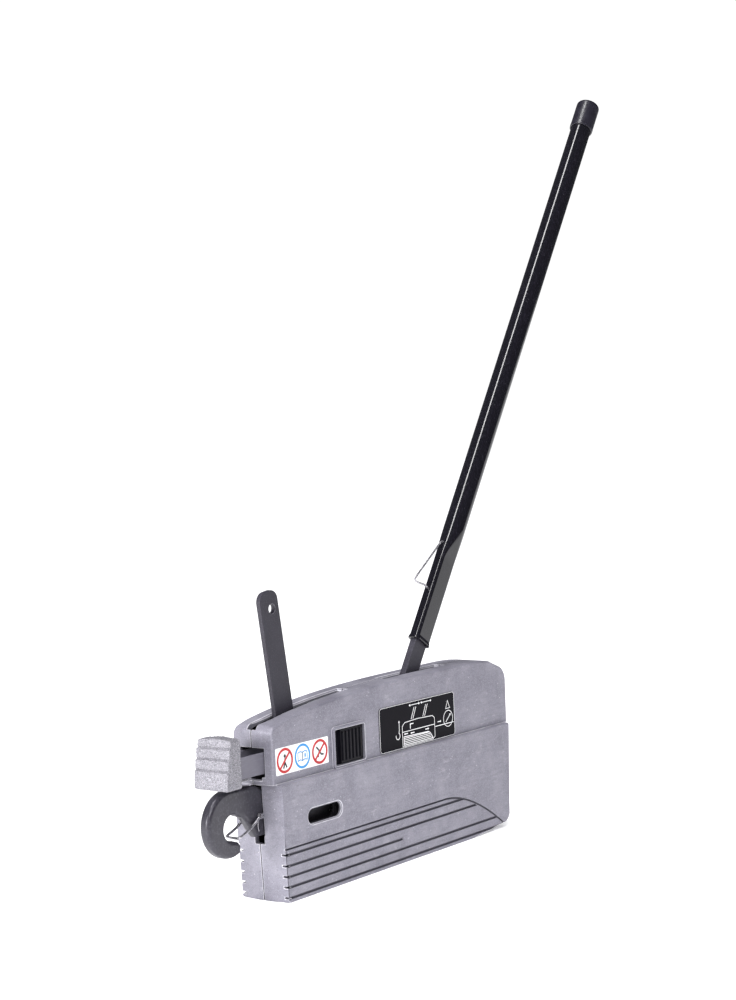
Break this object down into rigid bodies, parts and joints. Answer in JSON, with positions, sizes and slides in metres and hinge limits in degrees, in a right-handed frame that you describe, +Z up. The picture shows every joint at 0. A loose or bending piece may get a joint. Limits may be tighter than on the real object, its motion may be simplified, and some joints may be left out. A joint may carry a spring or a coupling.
{
  "type": "jaw-grip wire rope pulling hoist",
  "caption": "Hand-operated cable puller: ribbed cast casing with a load hook, spring latch, push release, short reverse lever and long tube lever that walks paired jaws along a rope.",
  "frame": {"origin": "middle of the flat base, on the parting plane of the two casings", "axes": "+X along the casing from the hook end to the rope inlet end, +Y from the front casing to the rear casing, +Z up"},
  "size_m": [0.8005, 0.064, 0.8754],
  "materials": {
    "cast_alloy": "satin die-cast aluminium with a fine speckle",
    "release_casting": "coarse as-cast aluminium",
    "strap_steel": "smooth satin grey",
    "frame_steel": "blackened steel",
    "ground_steel": "ground steel",
    "screw_steel": "dull zinc",
    "spring_steel": "bright drawn wire",
    "jaw_steel": "hardened steel",
    "bush_bronze": "plain bronze",
    "guide_iron": "dark iron",
    "plate_black": "satin black plate",
    "sticker_white": "white printed vinyl",
    "lever_steel": "dark satin steel",
    "tube_black": "gloss black paint",
    "cap_plastic": "dark satin plastic",
    "hook_steel": "dark satin forging",
    "catch_plastic": "black ribbed plastic"
  },
  "bodies": {
    "housing": {"front_casing": "cast_alloy", "rear_casing": "cast_alloy", "front_side_frame": "frame_steel", "rear_side_frame": "frame_steel", "casing_screws": "screw_steel", "casing_dowels": "ground_steel", "main_shaft": "ground_steel", "reverse_lever_pin": "ground_steel", "reverse_pin_spacers": "ground_steel", "hook_pin": "ground_steel", "rope_inlet_guide": "guide_iron", "rope_exit_guide": "guide_iron", "instruction_plate": "plate_black", "pictogram_sticker": "sticker_white"},
    "forward_crank": {"forward_stub": "lever_steel", "crank_cheeks": "frame_steel", "crank_pins": "ground_steel", "shear_pins": "bush_bronze", "crank_bush": "bush_bronze"},
    "lever_tube": {"lever_tube": "tube_black", "tube_end_cap": "cap_plastic"},
    "tube_clip": {"tube_clip": "spring_steel"},
    "reverse_lever": {"reverse_lever": "lever_steel", "reverse_lever_bush": "bush_bronze"},
    "hook": {"load_hook": "hook_steel", "hook_bush": "bush_bronze", "latch_pin": "ground_steel", "latch_spring": "spring_steel"},
    "latch": {"hook_latch": "spring_steel"},
    "hook_side_carriage": {"hook_side_drive_plates": "frame_steel", "hook_side_spacers": "ground_steel", "reverse_drive_pin": "ground_steel", "hook_side_upper_springs": "spring_steel", "hook_side_lower_springs": "spring_steel"},
    "hook_side_upper_jaw": {"hook_side_upper_jaw": "jaw_steel", "hook_side_upper_jaw_pins": "ground_steel"},
    "hook_side_lower_jaw": {"hook_side_lower_jaw": "jaw_steel", "hook_side_lower_jaw_pins": "ground_steel"},
    "rope_side_carriage": {"rope_side_drive_plates": "frame_steel", "rope_side_spacers": "ground_steel", "rope_side_upper_springs": "spring_steel", "rope_side_lower_springs": "spring_steel"},
    "rope_side_upper_jaw": {"rope_side_upper_jaw": "jaw_steel", "rope_side_upper_jaw_pins": "ground_steel"},
    "rope_side_lower_jaw": {"rope_side_lower_jaw": "jaw_steel", "rope_side_lower_jaw_pins": "ground_steel"},
    "release_handle": {"release_block": "release_casting", "release_straps": "strap_steel", "strap_bolts": "ground_steel", "strap_spacer": "ground_steel"},
    "lock_slide": {"lock_slide": "catch_plastic", "slide_spring": "spring_steel"}
  },
  "joints": [
    {"name": "forward_lever_swing", "type": "hinge", "parent": "housing", "child": "forward_crank", "pos_m": [0.006, 0, 0.118], "axis": [0, 1, 0], "range_deg": [-22, 12]},
    {"name": "lever_tube_pull", "type": "slide", "parent": "forward_crank", "child": "lever_tube", "axis": [0.5476, 0, 0.8368], "range_m": [0, 0.1]},
    {"name": "tube_clip_lift", "type": "hinge", "parent": "lever_tube", "child": "tube_clip", "pos_m": [0.13497, 0, 0.33883], "axis": [0, 1, 0], "range_deg": [0, 12], "stiffness_Nm_per_rad": 0.05},
    {"name": "reverse_lever_swing", "type": "hinge", "parent": "housing", "child": "reverse_lever", "pos_m": [-0.1528, 0, 0.112], "axis": [0, 1, 0], "range_deg": [-21.5, 12]},
    {"name": "hook_swing", "type": "hinge", "parent": "housing", "child": "hook", "pos_m": [-0.1915, 0, 0.092], "axis": [0, 1, 0], "range_deg": [0, 1.5]},
    {"name": "latch_swing", "type": "hinge", "parent": "hook", "child": "latch", "pos_m": [-0.2165, 0, 0.0895], "axis": [0, 1, 0], "range_deg": [0, 28], "stiffness_Nm_per_rad": 0.02},
    {"name": "hook_side_carriage_slide", "type": "slide", "parent": "housing", "child": "hook_side_carriage", "axis": [1, 0, 0], "range_m": [-0.0075, 0.0132]},
    {"name": "rope_side_carriage_slide", "type": "slide", "parent": "housing", "child": "rope_side_carriage", "axis": [1, 0, 0], "range_m": [-0.0132, 0.0075]},
    {"name": "release_slide", "type": "slide", "parent": "housing", "child": "release_handle", "axis": [1, 0, 0], "range_m": [0, 0.03]},
    {"name": "hook_side_upper_jaw_lift", "type": "slide", "parent": "hook_side_carriage", "child": "hook_side_upper_jaw", "axis": [0, 0, 1], "range_m": [0, 0.003], "deforming": ["hook_side_upper_springs"]},
    {"name": "hook_side_lower_jaw_lift", "type": "slide", "parent": "hook_side_carriage", "child": "hook_side_lower_jaw", "axis": [0, 0, -1], "range_m": [0, 0.003], "deforming": ["hook_side_lower_springs"]},
    {"name": "rope_side_upper_jaw_lift", "type": "slide", "parent": "rope_side_carriage", "child": "rope_side_upper_jaw", "axis": [0, 0, 1], "range_m": [0, 0.003], "deforming": ["rope_side_upper_springs"]},
    {"name": "rope_side_lower_jaw_lift", "type": "slide", "parent": "rope_side_carriage", "child": "rope_side_lower_jaw", "axis": [0, 0, -1], "range_m": [0, 0.003], "deforming": ["rope_side_lower_springs"]},
    {"name": "lock_slide_travel", "type": "slide", "parent": "housing", "child": "lock_slide", "axis": [-1, 0, 0], "range_m": [0, 0.012], "stiffness_N_per_m": 100, "deforming": ["slide_spring"]}
  ],
  "couplings": [
    {"joint": "reverse_lever_swing", "follows": "forward_lever_swing", "ratio": 0.9545},
    {"joint": "hook_side_carriage_slide", "follows": "forward_lever_swing", "m_per_rad": -0.03344},
    {"joint": "rope_side_carriage_slide", "follows": "forward_lever_swing", "m_per_rad": 0.03344},
    {"joint": "hook_side_upper_jaw_lift", "follows": "release_slide", "ratio": 0.1},
    {"joint": "hook_side_lower_jaw_lift", "follows": "release_slide", "ratio": 0.1},
    {"joint": "rope_side_upper_jaw_lift", "follows": "release_slide", "ratio": 0.1},
    {"joint": "rope_side_lower_jaw_lift", "follows": "release_slide", "ratio": 0.1}
  ]
}
